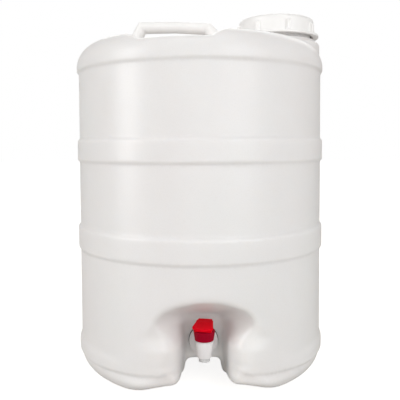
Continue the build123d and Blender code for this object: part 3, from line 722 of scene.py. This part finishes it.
def make_clear(name, color, roughness, transmission):
    """Plastic or silicone that lets some light through."""
    m = Surface(name, color, roughness, Transmission_Weight=transmission, IOR=1.49)
    m.color(m.ramp(m.noise(120.0, 2.0), (0.3, tuple(c * 0.97 for c in color)), (0.7, color)))
    m.rough(m.spread(m.noise(400.0, 3.0), roughness - 0.04, roughness + 0.08))
    m.relief((m.noise(1200.0, 2.0), 0.12, 0.0001), edge=0.0003)
    return m


def make_steel():
    """Bright steel wire and pin, drawn along their length."""
    m = Surface("bright_steel", (0.62, 0.62, 0.63), 0.24, Metallic=1.0)
    drawn = m.noise(500.0, 3.0, (1, 1, 8))
    m.color(m.ramp(drawn, (0.3, (0.52, 0.52, 0.53)), (0.7, (0.68, 0.68, 0.69))))
    m.rough(m.spread(drawn, 0.18, 0.34))
    m.relief((drawn, 0.1, 0.00005))
    return m


natural = make_natural()
white = make_white("white_polypropylene", (0.90, 0.895, 0.885), 0.33)
soft_white = make_white("soft_white", (0.86, 0.85, 0.835), 0.5, grain=0.2, glow=0.25)
tap_white = make_white("white_tap_plastic", (0.83, 0.815, 0.82), 0.30, grain=0.06, edge=0.0005)
foam = make_white("liner_foam", (0.84, 0.84, 0.82), 0.75, grain=0.4)
red = make_red("red_lever_plastic", (0.78, 0.0005, 0.012))
# The bonnet's red is the lever's red darkened: painted shade for the lever's shadow on it and its darker
# side faces.
shaded_red = make_red("red_bonnet_painted_shade", (0.34, 0.0005, 0.017))
rubber = make_rubber()
steel = make_steel()
clear = make_clear("clear_nozzle", (0.93, 0.94, 0.94), 0.2, 0.4)
silicone = make_clear("clear_silicone", (0.86, 0.86, 0.85), 0.4, 0.35)

natural.apply(vessel)
white.apply(handle, cap)
soft_white.apply(bung)
foam.apply(nodes["cap_liner"])
for name in ("tap_body", "tap_back_nut", "tap_stem", "tap_spring_washer"):
    tap_white.apply(nodes[name])
red.apply(nodes["tap_lever"])
# The bonnet gets the darkened red, which is painted shade and not a second plastic colour.
shaded_red.apply(nodes["tap_bonnet"])
rubber.apply(nodes["tap_gasket"], nodes["tap_inner_washer"])
steel.apply(nodes["tap_spring"], nodes["tap_lever_pin"])
clear.apply(nodes["tap_nozzle"])
silicone.apply(nodes["tap_seal_cup"])

# ---------------------------------------------------------------- floor, light, camera

FLOOR_CORNERS = [(-9, -6, 0), (9, -6, 0), (9, 9, 0), (-9, 9, 0)]
floor_mesh = bpy.data.meshes.new("floor")
floor_mesh.from_pydata(FLOOR_CORNERS, [], [(0, 1, 2, 3)])
floor = bpy.data.objects.new("floor", floor_mesh)
bpy.context.scene.collection.objects.link(floor)
paper = Surface(
    "pale_floor", (0.5, 0.48, 0.46), 0.8, Emission_Color=(1, 1, 1, 1), Specular_IOR_Level=0.2,
)
# The floor looks white to the camera, and lights the object less than white paper would.
seen = paper.node("ShaderNodeLightPath").outputs["Is Camera Ray"]
glow = paper.spread(seen, 0.08, 0.84, 0.0, 1.0)
paper.tree.links.new(glow, paper.main.inputs["Emission Strength"])
clouds = paper.noise(3.0, 2.0)
paper.color(paper.ramp(clouds, (0.3, (0.49, 0.47, 0.445)), (0.7, (0.52, 0.50, 0.475))))
paper.relief((paper.noise(700.0, 2.0), 0.05, 0.0002))
paper.apply(floor)

# The camera stands in front, a little above the object's middle, and looks slightly down.
CAMERA_PLACE = (0, -0.714, 0.275)
CAMERA_TURN = math.radians(-2.0)
CAMERA_PITCH = math.radians(90.0 - 2.6)
CAMERA_ROLL = math.radians(-0.24)
cam_data = bpy.data.cameras.new("camera")
cam_data.sensor_width = 36.0
cam_data.lens = 50.22
cam_data.shift_y = -0.073
cam = bpy.data.objects.new("camera", cam_data)
bpy.context.scene.collection.objects.link(cam)
turn = Matrix.Rotation(CAMERA_TURN, 4, "Z")
pitch = Matrix.Rotation(CAMERA_PITCH, 4, "X")
roll = Matrix.Rotation(CAMERA_ROLL, 4, "Z")
cam.matrix_world = turn @ Matrix.Translation(CAMERA_PLACE) @ pitch @ roll
bpy.context.scene.camera = cam
bpy.context.scene.view_settings.view_transform = "Standard"


def softbox(name, place, target, size, power, tint=(1, 1, 1)):
    """A rectangular area light at a place in metres, facing a target."""
    data = bpy.data.lights.new(name, "AREA")
    data.shape = "RECTANGLE"
    data.size, data.size_y = size
    data.energy = power
    data.color = tint
    obj = bpy.data.objects.new(name, data)
    bpy.context.scene.collection.objects.link(obj)
    obj.location = place
    obj.rotation_euler = (Vector(target) - Vector(place)).to_track_quat("-Z", "Y").to_euler()


softbox("key", (0.74, -1.12, 0.62), (0, 0, 0.24), (0.75, 1.2), 8.4, (0.97, 0.98, 1.0))
softbox("fill", (-1.42, -0.64, 0.62), (0, 0, 0.24), (0.50, 1.2), 10.5, (0.985, 0.99, 1.0))
softbox("front", (0.0, -2.4, 0.42), (0, 0, 0.2), (1.4, 0.8), 5.5)
softbox("top", (0.0, -0.3, 2.0), (0, 0, 0.3), (1.2, 1.2), 3.2)
softbox("back", (0.3, 1.6, 1.5), (0, 0, 0.2), (2.0, 1.0), 9.0)

world = bpy.data.worlds.new("world")
bpy.context.scene.world = world
world.use_nodes = True
world_tree = world.node_tree
sky = world_tree.nodes["Background"]
# The surroundings are white to the camera, and a dimmer, warmer white as a light.
rays = world_tree.nodes.new("ShaderNodeLightPath")
level = world_tree.nodes.new("ShaderNodeMapRange")
level.inputs["To Min"].default_value = 0.45
level.inputs["To Max"].default_value = 1.0
world_tree.links.new(rays.outputs["Is Camera Ray"], level.inputs["Value"])
world_tree.links.new(level.outputs[0], sky.inputs["Strength"])
warmth = world_tree.nodes.new("ShaderNodeValToRGB")
warmth.color_ramp.elements[0].color = (1.0, 0.97, 0.93, 1.0)
warmth.color_ramp.elements[1].color = (1.0, 1.0, 1.0, 1.0)
world_tree.links.new(rays.outputs["Is Camera Ray"], warmth.inputs["Fac"])
world_tree.links.new(warmth.outputs["Color"], sky.inputs["Color"])
